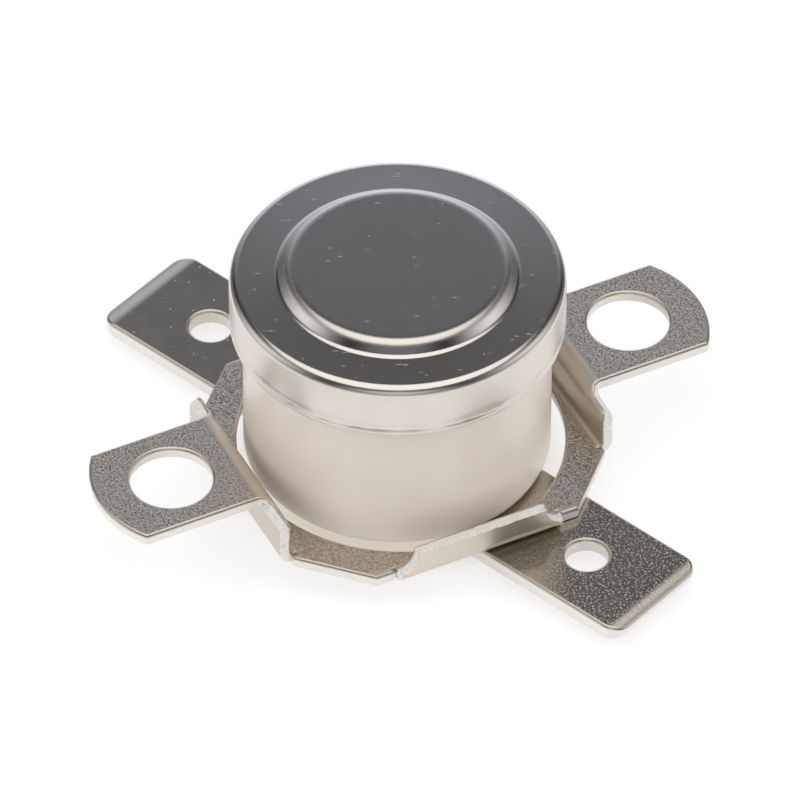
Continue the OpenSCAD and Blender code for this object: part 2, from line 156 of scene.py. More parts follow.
class BracketSettings(PropertyGroup):
    """Folded mounting bracket."""
    angle: turn("Bracket angle", "Turn of the ears from the tabs", 67.5)
    centre: point("Ring centre", "Centre of the ring's underside", (0.3734, -0.1433, 1.55))
    sheet: length("Sheet", "Thickness of the sheet", 0.6)
    ring: length("Ring radius", "Radius of the ring's hole", 8.0)
    end_bend: length("End bend", "Distance from the centre to the end bends", 8.2)
    side_bend: length("Side bend", "Distance from the centre to the side bends", 8.1)
    bend: length("Bend radius", "Inside radius of the bends", 0.2)
    corner_cut: length("Corner cut", "Distance from the centre to the cut corners", 9.75)
    lip: length("Lip", "Width of the plain lip beside each bend", 0.25)
    slit: length("Slit", "Width of the shear slit beside each bend", 0.04)
    wall: length("Wall length", "Length of each end wall", 10.1)
    ear_height: length("Ear height", "Height of the ears over the ring's underside", 3.05)
    shoulder_turn: turn("Shoulder turn", "Angle by which the shoulders are bent out", 40)
    shoulder_corner: length("Shoulder corner", "Radius of the shoulders' corners", 0.4)
    ear_fillet: length("Ear fillet", "Radius of the inner corners beside the ears", 0.75)
    ear_width: length("Ear width", "Width of each ear", 6.3)
    ear_reach: length("Ear reach", "Distance from the centre to an ear's end", 16.25)
    ear_end: length("Ear end radius", "Radius of an ear's rounded end", 5.25)
    ear_hole: length("Ear hole", "Radius of each ear hole", 2.0)
    ear_place: length("Ear hole place", "Distance from the centre to an ear hole", 12.4)
    flange: length("Flange length", "Length of a side flange along its top", 7.0)
    flange_height: length("Flange height", "Height of a side flange over the ring's underside", 1.85)
    runout: length("Run-out radius", "Radius of the hollow run-outs of a side flange", 0.9)
    edge_roll: length("Edge roll", "Width of the rolled upper edge", 0.15)
    burr: length("Burr", "Depth of the tears along the sheared edges", 0.13)


class PlatingSettings(PropertyGroup):
    """Nickel plating of the bracket, tabs and rivets, and the metals inside."""
    nickel: colour("Nickel", "Colour of the plated sheet", (0.67, 0.612, 0.535))
    grain_dark: colour("Grain shade", "Colour in the plating's pits", (0.34, 0.305, 0.27))
    sheared: colour("Sheared edge", "Colour of the sheared edges", (0.84, 0.81, 0.765))
    grain: length("Grain", "Size of the grains in the plating", 0.115)
    bimetal: colour("Bimetal", "Colour of the snap disc", (0.66, 0.54, 0.31))
    spring: colour("Spring strip", "Colour of the contact blade and the fixed strip", (0.75, 0.55, 0.3))
    contact: colour("Contact", "Colour of the contact buttons", (0.86, 0.86, 0.84))


class StageSettings(PropertyGroup):
    """Floor, light and camera."""
    floor: colour("Floor", "Pale floor", (0.92, 0.92, 0.92))
    floor_size: length("Floor size", "Half of the floor's side", 60.0)
    # painted shadow: the floor's glow is warmed and darkened right under the body, fading out between these
    # two radii
    shade: colour("Shade", "Warm tone of the floor right under the body", (0.56, 0.51, 0.435))
    shade_inner: length("Shade core", "Radius within which the floor has its full shade", 6.3)
    shade_outer: length("Shade end", "Radius at which the floor's shade has faded out", 8.3)
    azimuth: turn("Azimuth", "Camera's turn about the object", 40.8)
    elevation: turn("Elevation", "Camera's height over the horizon", 44.0)
    roll: turn("Roll", "Camera's turn about its own axis", 0.29)
    distance: length("Distance", "Distance from the camera to its target", 638.0)
    target: point("Target", "Point at the middle of the picture", (0.104, 0.090, 4.168))
    lens: FloatProperty(name="Lens", description="Focal length in mm on a 36 mm sensor", default=590.7)
    ceiling: power("Ceiling light", "Power of the soft light overhead", 1.3)
    left: power("Left light", "Power of the soft light at the left", 2.1)
    right: power("Right light", "Power of the soft light at the right", 1.45)
    ambient: share("Ambient light", "Even light that plain surfaces get from all sides", 0.88)
    studio: FloatProperty(name="Studio light", default=1.35,
                          description="Strength of the panels and the ceiling that metal mirrors")


class SwitchSettings(PropertyGroup):
    """All settings of the switch."""
    cap: PointerProperty(type=CapSettings)
    ceramic: PointerProperty(type=CeramicSettings)
    tab: PointerProperty(type=TabSettings)
    bracket: PointerProperty(type=BracketSettings)
    plating: PointerProperty(type=PlatingSettings)
    stage: PointerProperty(type=StageSettings)


# Shapes: outlines, sheets and turned pieces

def arc(centre, radius, start, end, step):
    """Points on an arc from start to end, in degrees, about step apart."""
    count = max(2, math.ceil(abs(math.radians(end - start)) * radius / step))
    angles = [math.radians(start + (end - start) * i / count) for i in range(count + 1)]
    return [(centre[0] + radius * math.cos(a), centre[1] + radius * math.sin(a)) for a in angles]


def round_hole(centre, radius, step):
    """A round hole as a closed loop, with the sheet on its left."""
    return arc(centre, radius, 360, 0, step)[:-1]


def dense(loop, step):
    """The closed loop with points added, so that none are more than step apart, and none twice."""
    out = []
    for a, b in zip(loop, loop[1:] + loop[:1]):
        gap = math.dist(a, b)
        if gap < TOUCH:
            continue
        count = max(1, math.ceil(gap / step))
        for i in range(count):
            out.append((a[0] + (b[0] - a[0]) * i / count, a[1] + (b[1] - a[1]) * i / count))
    return out


def inward(loop):
    """At each point of a closed loop, the mitred direction into the sheet, on the loop's left."""
    sharpest = 1.2  # least squared length of two added normals, which keeps sharp mitres short
    normals = []
    for before, here, after in zip(loop[-1:] + loop[:-1], loop, loop[1:] + loop[:1]):
        one = Vector((before[1] - here[1], here[0] - before[0])).normalized()
        two = Vector((here[1] - after[1], after[0] - here[0])).normalized()
        middle = one + two
        normals.append(middle * (2 / max(middle.length_squared, sharpest)))
    return normals


def sheared_profile(sheet, roll, fracture):
    """Edge of a blanked sheet from its upper to its lower face: (inset, height, raggedness)."""
    rounded = []
    for i in range(ROLL_STEPS + 1):
        angle = math.pi / 2 * i / ROLL_STEPS
        rounded.append((roll * (1 - math.sin(angle)), sheet - roll * (1 - math.cos(angle)), 0.08 * i))
    lower = fracture * 1.2
    return rounded + [
        (0.0, sheet * 0.52, 0.45),  # lower end of the smooth band
        (fracture, sheet * 0.46, 1.0),  # upper end of the torn band
        (lower, fracture * 1.5, 1.0),  # lower end of the torn band
        (lower + fracture * 0.5, 0.0, 0.7),  # lower face
    ]


def ragged(x, y, height):
    """How far the tear reaches into the sheet at a point of its edge, from 0 to 1."""
    coarse = noise.noise(Vector((x * TEARS, y * TEARS, height * 3)))
    fine = noise.noise(Vector((x * CHIPS, y * CHIPS, height * 6 + 9)))
    return min(1.0, max(0.0, 0.35 + 0.6 * coarse + 0.5 * fine))


def sheet_mesh(name, loops, profile, cuts, tear, place, burnish=lambda x, y: 0.0):
    """Mesh of a blanked sheet: loops are its outline and holes, and place puts its points in space.

    Its materials are the plating, the sheared edge and the rolled edge."""
    bm = bmesh.new()
    burnished = bm.verts.layers.float.new("burnish")
    rims = ([], [])
    for loop in loops:
        directions = inward(loop)
        rings = []
        for inset, height, rag in profile:
            ring = []
            for (x, y), direction in zip(loop, directions):
                shift = inset + rag * tear(x, y) * ragged(x, y, height)
                ring.append(bm.verts.new((x + direction[0] * shift, y + direction[1] * shift, height)))
            rings.append(ring)
        for k, (upper, lower) in enumerate(zip(rings, rings[1:])):
            for i in range(len(loop)):
                j = (i + 1) % len(loop)
                face = bm.faces.new((upper[i], lower[i], lower[j], upper[j]))
                face.material_index = 2 if k < ROLL_STEPS else 1
        for rim, ring in zip(rims, (rings[0], rings[-1])):
            rim += [bm.edges.get((a, b)) for a, b in zip(ring, ring[1:] + ring[:1])]
    for edge in rims[0] + rims[1]:
        edge.smooth = False
    for rim, up in zip(rims, (1, -1)):
        bmesh.ops.triangle_fill(bm, use_beauty=True, edges=rim, normal=(0, 0, up))
    for spot, normal in cuts:
        bmesh.ops.bisect_plane(bm, geom=bm.verts[:] + bm.edges[:] + bm.faces[:], dist=TOUCH,
                               plane_co=spot, plane_no=normal)
    for vert in bm.verts:
        vert[burnished] = burnish(vert.co.x, vert.co.y)
        vert.co = place(*vert.co)
    return mesh_from(name, bm)


def turned_mesh(name, profile, steps, shape):
    """Mesh turned about Z from a profile of (radius, height) that starts and ends on the axis."""
    bm = bmesh.new()
    rings = []
    for radius, height in profile:
        if radius < TOUCH:
            rings.append([bm.verts.new((0, 0, height))])
            continue
        ring = []
        for i in range(steps):
            angle = math.tau * i / steps
            r, z = shape(radius, height, angle)
            ring.append(bm.verts.new((r * math.cos(angle), r * math.sin(angle), z)))
        rings.append(ring)
    for one, two in zip(rings, rings[1:]):
        for i in range(steps):
            j = (i + 1) % steps
            corners = [one[i % len(one)], one[j % len(one)], two[j % len(two)], two[i % len(two)]]
            bm.faces.new(list(dict.fromkeys(corners)))
    return mesh_from(name, bm)


def mesh_from(name, bm):
    """Finish a mesh that was drawn in millimetres: scaled, facing out, smooth but for its creases."""
    bmesh.ops.scale(bm, vec=(MM, MM, MM), verts=bm.verts)
    bmesh.ops.recalc_face_normals(bm, faces=bm.faces)
    for face in bm.faces:
        face.smooth = True
    for edge in bm.edges:
        if edge.calc_face_angle(0.0) > CREASE:
            edge.smooth = False
    mesh = bpy.data.meshes.new(name)
    bm.to_mesh(mesh)
    bm.free()
    return mesh


def placed(name, data):
    """A new object in the scene."""
    obj = bpy.data.objects.new(name, data)
    bpy.context.scene.collection.objects.link(obj)
    return obj


def aimed(obj, place, direction, roll=0.0):
    """Put a camera or lamp at a place, looking in a direction and rolled about it."""
    obj.location = place
    obj.rotation_mode = "QUATERNION"
    obj.rotation_quaternion = direction.to_track_quat("-Z", "Y") @ Quaternion((0, 0, 1), roll)


def piece(mesh, materials):
    """A new piece, with weighted normals so that its flats stay flat."""
    obj = placed(mesh.name, mesh)
    for material in materials:
        mesh.materials.append(material)
    weighted = obj.modifiers.new("flat faces", "WEIGHTED_NORMAL")
    weighted.keep_sharp = True
    weighted.weight = 90
    return obj


def dress(node, material):
    """Give a CAD node a better material."""
    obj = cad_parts[node]
    obj.data.materials.clear()
    obj.data.materials.append(material)


# Finishes

def tone(base, factor):
    """A colour made lighter or darker."""
    return tuple(min(1.0, c * factor) for c in base)


def rgba(value):
    """A grey or a colour, with its alpha."""
    return (value, value, value, 1) if isinstance(value, (int, float)) else (*value, 1)


class Nodes:
    """The nodes of a material or world, each made with its settings and inputs in one call."""

    def __init__(self, tree):
        self.nodes, self.links = tree.nodes, tree.links

    def put(self, node, inputs):
        """Set a node's inputs, from numbers or from other nodes' outputs."""
        for key, value in inputs.items():
            if isinstance(value, NodeSocket):
                self.links.new(value, node.inputs[key])
            else:
                node.inputs[key].default_value = value

    def node(self, kind, inputs=None, **settings):
        """A new node with its settings and inputs."""
        node = self.nodes.new("ShaderNode" + kind)
        for key, value in settings.items():
            setattr(node, key, value)
        self.put(node, inputs or {})
        return node

    def add(self, kind, inputs=None, out=0, **settings):
        """An output of a new node."""
        return self.node(kind, inputs, **settings).outputs[out]

    def math(self, operation, one, two=0.0):
        """A value worked out from one or two others."""
        return self.add("Math", {0: one, 1: two}, operation=operation)

    def ramp(self, value, *stops):
        """A value or colour by another value: stops are (position, grey or colour)."""
        node = self.node("ValToRGB", {"Fac": value})
        elements = node.color_ramp.elements
        while len(elements) < len(stops):
            elements.new(0.5)
        for element, (position, shade) in zip(elements, stops):
            element.position = position
            element.color = rgba(shade)
        return node.outputs["Color"]

    def mix(self, factor, one, two, blend="MIX"):
        """Two greys or colours mixed by a factor."""
        one, two = (value if isinstance(value, NodeSocket) else rgba(value) for value in (one, two))
        return self.add("Mix", {0: factor, 6: one, 7: two}, 2, data_type="RGBA", blend_type=blend)


class Finish(Nodes):
    """A material whose textures are fixed to the piece's own coordinates, in metres."""

    def __init__(self, name, **constants):
        self.material = bpy.data.materials.new(name)
        self.material.use_nodes = True
        super().__init__(self.material.node_tree)
        self.shader = self.nodes["Principled BSDF"]
        self.place = self.add("TexCoord", out="Object")
        self.put(self.shader, {key.replace("_", " ").title(): value for key, value in constants.items()})

    def stretched(self, scale, turned=0.0):
        """The piece's coordinates for a pattern that is stretched along axes turned about Z."""
        inputs = {"Vector": self.place, "Scale": scale, "Rotation": (0, 0, turned)}
        return self.add("Mapping", inputs, vector_type="TEXTURE")

    def noise(self, size, detail=3.0, rough=0.5, place=None):
        """Clouds of about that size in millimetres."""
        inputs = {"Vector": place or self.place, "Scale": 1 / (size * MM), "Detail": detail,
                  "Roughness": rough}
        return self.add("TexNoise", inputs, "Fac")

    def specks(self, size, radius, filled):
        """Sparse round specks: cells of a size in millimetres, a share of which is filled with a speck."""
        cells = self.node("TexVoronoi", {"Vector": self.place, "Scale": 1 / (size * MM)}).outputs
        dots = self.ramp(cells["Distance"], (radius / size * 0.6, 1.0), (radius / size, 0.0))
        cell = self.add("SeparateColor", {"Color": cells["Color"]}, "Red")
        chosen = self.ramp(cell, (1 - filled, 0.0), (1 - filled * 0.7, 1.0))
        return self.mix(chosen, 0.0, dots)

    def height(self, low, high, one, two):
        """A value that changes from one to two between two heights, in millimetres."""
        z = self.add("SeparateXYZ", {"Vector": self.place}, "Z")
        return self.add("MapRange", {"Value": z, "From Min": low * MM, "From Max": high * MM,
                                     "To Min": one, "To Max": two}, "Result")

    def bump(self, height, depth, under=None):
        """A normal that follows a height map, whose depth is in millimetres."""
        inputs = {"Height": height, "Distance": depth * MM, "Strength": 1.0}
        if under:
            inputs["Normal"] = under
        return self.add("Bump", inputs, "Normal")

    def done(self, base, rough, skin):
        """The material, with its colour, roughness and normal connected."""
        self.put(self.shader, {"Base Color": base, "Roughness": rough, "Normal": skin})
        return self.material


def drawn_metal(settings, rim):
    """Satin drawn sheet with faint clouds, short scratches and bright specks, rougher below its rim."""
    finish = Finish("drawn_satin_metal", metallic=1.0)
    top = rim + mm(settings.boss_rise)
    under_rim = (rim - 0.5, rim - 0.1)  # heights between which the wall goes over into the rim
    worn_start = (top - 0.24, top - 0.17)  # and between which the boss's worn edge starts and ends
    worn_end = (top - 0.04, top - 0.008)
    clouds = finish.noise(2.2, detail=4.0, rough=0.6)
    wall = finish.height(*under_rim, 1.0, 0.0)
    calm = finish.mix(clouds, tone(settings.metal, 0.975), tone(settings.metal, 1.025))
    smudged = finish.mix(clouds, tone(settings.metal, 0.94), tone(settings.metal, 1.12))
    base = finish.mix(wall, calm, smudged)
    streaks = finish.noise(0.1, detail=1.0, place=finish.stretched((6.0, 1.0, 1.0), turned=0.71))
    scratches = finish.ramp(streaks, (0.735, 0.0), (0.8, 0.4))
    marks = finish.mix(1.0, finish.specks(0.4, radius=0.035, filled=0.06), scratches, "ADD")
    rough = finish.height(*under_rim, settings.wall_roughness, settings.roughness)
    worn = finish.mix(finish.height(*worn_end, 1.0, 0.0), 0.0, finish.height(*worn_start, 0.0, 1.0))
    rough = finish.mix(worn, rough, settings.edge_roughness)
    rough = finish.mix(marks, rough, 0.4)
    grain = finish.bump(finish.noise(0.09), depth=0.0016)
    skin = finish.bump(marks, depth=0.005, under=grain)
    return finish.done(base, rough, skin)


def glazed_ceramic(settings):
    """Warm off-white glaze with soft clouds, faint specks and a waxy depth, and painted light that makes it
    lighter towards its foot.
    """
    finish = Finish("glazed_ceramic", subsurface_weight=0.12, subsurface_scale=0.6 * MM,
                    subsurface_radius=(1.0, 0.8, 0.6), coat_weight=0.12, coat_roughness=0.18)
    # painted light: the glaze gets lighter towards its foot, standing in for light bounced up from the floor
    foot = finish.height(1.8, 5.5, 1.0, 0.0)
    base = finish.mix(finish.noise(3.5), settings.shade, settings.glaze)
    base = finish.mix(foot, base, tone(settings.glaze, 1.22))
    base = finish.mix(finish.specks(0.6, radius=0.05, filled=0.08), base, tone(settings.shade, 0.75))
    smears = finish.noise(0.6)
    rough = finish.ramp(smears, (0.3, settings.gloss * 0.85), (0.7, settings.gloss * 1.2))
    skin = finish.bump(finish.noise(0.5), depth=0.006)
    return finish.done(base, rough, skin)


def bare_ceramic(settings):
    """Dry pressed ceramic with fine pores."""
    finish = Finish("bare_ceramic")
    base = finish.mix(finish.noise(0.4), tone(settings.bare, 0.92), settings.bare)
    skin = finish.bump(finish.noise(0.08), depth=0.01)
    rough = finish.ramp(finish.noise(0.2, detail=2.0), (0.0, 0.55), (1.0, 0.75))
    return finish.done(base, rough, skin)


def plated(name, settings, depth, pitted, level=0.4, gloss=0.185):
    """Nickel plating with pits and grains of a depth, raised where the grit is over a level.

    Pits are dark by the share pitted, gloss is the roughness, and bends are burnished."""
    finish = Finish(name, metallic=1.0)
    burnish = finish.add("Attribute", out="Fac", attribute_name="burnish")
    grit = finish.noise(mm(settings.grain), rough=0.6)
    stains = finish.noise(1.6)
    light = finish.mix(stains, tone(settings.nickel, 0.95), tone(settings.nickel, 1.05))
    pits = finish.mix(burnish, finish.ramp(grit, (0.36, pitted), (0.6, 0.0)), 0.0)
    base = finish.mix(pits, light, settings.grain_dark)
    specks = finish.specks(0.3, radius=0.05, filled=0.18)
    stained = finish.ramp(stains, (0.25, gloss * 0.92), (0.75, gloss * 1.08))
    rough = finish.mix(specks, finish.mix(burnish, stained, 0.38), 0.55)
    raised = finish.ramp(grit, (level, 0.0), (level + 0.5, 1.0))
    grains = finish.bump(finish.mix(burnish, raised, 0.5), depth)
    skin = finish.bump(specks, depth=0.015, under=grains)
    return finish.done(base, rough, skin)


def rolled_edge(name, settings):
    """Plating on the rolled edge of a sheet, smoother and duller than on its faces."""
    return plated(name, settings, depth=0.004, pitted=0.1, gloss=0.34)


def sheared_metal(settings):
    """Bright sheared edge with fine tears."""
    finish = Finish("sheared_edge", metallic=0.5)
    tears = finish.noise(0.1, rough=0.6)
    base = finish.mix(tears, tone(settings.sheared, 0.8), tone(settings.sheared, 1.12))
    rough = finish.ramp(tears, (0.3, 0.4), (0.7, 0.6))
    skin = finish.bump(tears, depth=0.035)
    return finish.done(base, rough, skin)


def rolled_metal(name, tint):
    """Rolled strip with fine lines along its length."""
    finish = Finish(name, metallic=1.0)
    lines = finish.noise(0.06, detail=2.0, place=finish.stretched((12.0, 1.0, 1.0)))
    base = finish.mix(lines, tone(tint, 0.85), tone(tint, 1.08))
    rough = finish.ramp(lines, (0.3, 0.24), (0.7, 0.38))
    skin = finish.bump(lines, depth=0.002)
    return finish.done(base, rough, skin)


# Pieces

class SWITCH_OT_cap(Operator):
    """Draw the cap with its boss, rounded rim and crimped edge"""
    bl_idname = "snapswitch.cap"
    bl_label = "Cap"

    # Fixed sizes of the section in millimetres
    STEP = 0.03  # length of a face along its arcs
    FLAT = 3.0  # radius of the innermost ring, on the boss's flat top
    BEAD = 0.16  # radius of the crimped lower edge
    LIP_RUN, LIP_RISE = 0.15, 0.06  # bevel of the lip
    # Crimped zone, by height over the lower edge
    WALL_TOP, WALL_STEP, WALL_RINGS = 1.4, 0.05, 24  # rings into which its wall is divided
    WAVE_TOP, WAVE_FADE = 1.3, 1.2  # where the waves end, and over which height they fade
    GROOVE = 0.42  # middle of the hollow
    GROOVE_BELOW, GROOVE_ABOVE = 0.16, 0.3  # reach of the hollow to both sides
    SWELLS, RIPPLES = 2.4, 13  # how close the long and the short waves follow each other

    def execute(self, context):
        cap = context.scene.snapswitch.cap
        low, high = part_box("cap")
        top, bottom, outer = mm(high.z), mm(low.z), mm(high.x)
        edge, sheet, lip, fall = mm(cap.edge_radius), mm(cap.sheet), mm(cap.lip_radius), mm(cap.rim_fall)
        rim = top - mm(cap.boss_rise)
        profile = [(0.0, top), (self.FLAT, top), *self.boss(cap, top, 0.0)]
        profile += arc((outer - edge, rim - fall - edge), edge, 90, 0, self.STEP)
        profile += [(outer, bottom + self.WALL_TOP - self.WALL_STEP * i) for i in range(self.WALL_RINGS)]
        profile += arc((outer - self.BEAD, bottom + self.BEAD), self.BEAD, 0, -90, self.STEP)
        profile += [(lip + self.LIP_RUN, bottom), (lip, bottom + self.LIP_RISE), (lip, bottom + sheet)]
        profile += [(outer - sheet, bottom + sheet), (outer - sheet, rim - edge)]
        profile += arc((outer - edge, rim - edge), edge - sheet, 0, 90, self.STEP)[1:]
        profile += [*reversed(self.boss(cap, top, sheet)), (0.0, top - sheet)]
        wave, groove, groove_z = mm(cap.crimp_wave), mm(cap.crimp_groove), bottom + self.GROOVE

        def crimped(radius, height, angle):
            near = max(0.0, min(1.0, (bottom + self.WAVE_TOP - height) / self.WAVE_FADE))
            x, y = math.cos(angle), math.sin(angle)
            swell = 0.5 + 0.5 * noise.noise(Vector((x * self.SWELLS, y * self.SWELLS, 4.0)))
            ripple = 0.5 + 0.5 * noise.noise(Vector((x * self.RIPPLES, y * self.RIPPLES, 1.0)))
            lift = near * wave * (0.6 * swell + 0.4 * ripple)
            above = (height - groove_z) / (self.GROOVE_BELOW if height < groove_z else self.GROOVE_ABOVE)
            hollow = groove * math.exp(-above * above) * max(0.0, 1.2 * swell + 0.9 * (ripple - 0.35))
            return (radius - hollow if radius > outer - sheet / 2 else radius), height + lift

        obj = piece(turned_mesh("drawn_cap", profile, cap.steps, crimped), [drawn_metal(cap, rim)])
        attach(obj, "case")
        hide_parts("cap")
        return {"FINISHED"}

    def boss(self, cap, top, depth):
        """Section of the boss's step, from its flat top down to the rim, at a depth in the sheet."""
        ease, upper, lower = mm(cap.boss_ease) - depth, mm(cap.boss_top) - depth, mm(cap.boss_foot) + depth
        slope, start, foot = cap.boss_slope, cap.ease_turn, mm(cap.boss_radius)
        fall = (ease * (1 - math.cos(start)) + upper * (math.cos(start) - math.cos(slope))
                + lower * (1 - math.cos(slope)))
        run = (mm(cap.boss_rise) - fall) / math.tan(slope)
        shift = ease - upper
        flat = foot - run - (upper + lower) * math.sin(slope) - shift * math.sin(start)
        lean, turned, base = math.degrees(slope), math.degrees(start), top - depth - mm(cap.boss_rise)
        centre = (flat + shift * math.sin(start), top - depth - ease + shift * math.cos(start))
        return (arc((flat, top - depth - ease), ease, 90, 90 - turned, self.STEP)
                + arc(centre, upper, 90 - turned, 90 - lean, self.STEP)[1:]
                + arc((foot, base + lower), lower, 270 - lean, 270, self.STEP))


class SWITCH_OT_ceramic(Operator):
    """Glaze the ceramic body and finish the ceramic pieces inside it"""
    bl_idname = "snapswitch.ceramic"
    bl_label = "Ceramic"

    PIN_STEP, PIN_FACES = 0.06, 72  # length of a face along the pin's arcs, and faces round it

    def execute(self, context):
        settings = context.scene.snapswitch.ceramic
        dress("ceramic_body", glazed_ceramic(settings))
        bare = bare_ceramic(settings)
        dress("pin_guide", bare)
        self.pin(settings, bare)
        return {"FINISHED"}

    def pin(self, settings, material):
        """The transfer pin, whose domed foot rolls on the bending blade."""
        low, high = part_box("transfer_pin")
        radius, top, foot = mm(high.x), mm(high.z), mm(low.z)
        dome, edge = mm(settings.pin_dome), mm(settings.pin_edge)
        lean = math.degrees(math.asin(radius / dome))
        profile = [(0.0, top), *arc((radius - edge, top - edge), edge, 90, 0, self.PIN_STEP)]
        profile += arc((0.0, foot + dome), dome, 270 + lean, 270, self.PIN_STEP)
        obj = piece(turned_mesh("domed_pin", profile, self.PIN_FACES, lambda r, z, angle: (r, z)), [material])
        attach(obj, "pin")
        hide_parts("transfer_pin")


class SWITCH_OT_tabs(Operator):
    """Draw both push-on tabs with rolled edges and lead-in tips"""
    bl_idname = "snapswitch.tabs"
    bl_label = "Tabs"

    STEP = 0.12  # longest edge of an outline, in millimetres
    FRACTURE, TEAR = 0.02, 0.015  # inset of the sheared edge's torn band, and depth of its tears
    LEAD_CUTS, BESIDE = 12, 0.05  # lines across a lead-in, and distance to one more beside it

    def execute(self, context):
        tab, plating = context.scene.snapswitch.tab, context.scene.snapswitch.plating
        grainy = plated("plated_tab_grainy", plating, depth=0.0155, pitted=0.5, level=0.57)
        smooth = plated("plated_tab_smooth", plating, depth=0.0015, pitted=0.05)
        edges = [sheared_metal(plating), rolled_edge("rolled_tab_edge", plating)]
        bevel = (tab.lead_length, tab.lead_depth, lambda s: s ** 3.0)
        coined = (tab.soft_length, tab.soft_depth, lambda s: s * s * (3 - 2 * s))
        self.tab(tab, "tab_contact_side", 1, bevel, [grainy, *edges])
        self.tab(tab, "tab_blade_side", -1, coined, [smooth, *edges])
        return {"FINISHED"}

    def tab(self, tab, node, side, lead_in, materials):
        """One tab, along +X or -X, whose tip thins out over a length, to a depth and by a curve."""
        low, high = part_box(node)
        half, sheet, base = mm(high.y), mm(high.z - low.z), mm(low.z)
        tip = mm(high.x if side > 0 else -low.x)
        inner = mm(low.x if side > 0 else -high.x)
        corner = mm(tab.corner)
        lead, depth, curve = mm(lead_in[0]), mm(lead_in[1]), lead_in[2]
        outline = [(inner, -half)]
        outline += arc((tip - corner, corner - half), corner, -90, 0, self.STEP)
        outline += arc((tip - corner, half - corner), corner, 0, 90, self.STEP)
        outline += [(inner, half)]
        dimple = round_hole((tip - mm(tab.hole_inset), 0), mm(tab.hole), self.STEP)
        rivet = round_hole((mm(tab.rivet_place), 0), mm(tab.rivet_hole), self.STEP)
        loops = [dense(loop, self.STEP) for loop in (outline, dimple, rivet)]
        profile = sheared_profile(sheet, mm(tab.edge_roll), self.FRACTURE)
        lines = [tip - lead * i / self.LEAD_CUTS for i in range(1, self.LEAD_CUTS + 1)]
        cuts = [((x, 0, 0), (1, 0, 0)) for x in (*lines, tip - lead - self.BESIDE)]

        def place(x, y, z):
            into = curve(max(0.0, 1 - (tip - x) / lead))
            thin = 1 - 2 * depth / sheet * into
            return Vector((side * x, side * y, base + sheet / 2 + (z - sheet / 2) * thin))

        mesh = sheet_mesh(node + "_sheet", loops, profile, cuts, lambda x, y: self.TEAR, place)
        obj = piece(mesh, materials)
        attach(obj, "case")
        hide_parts(node)


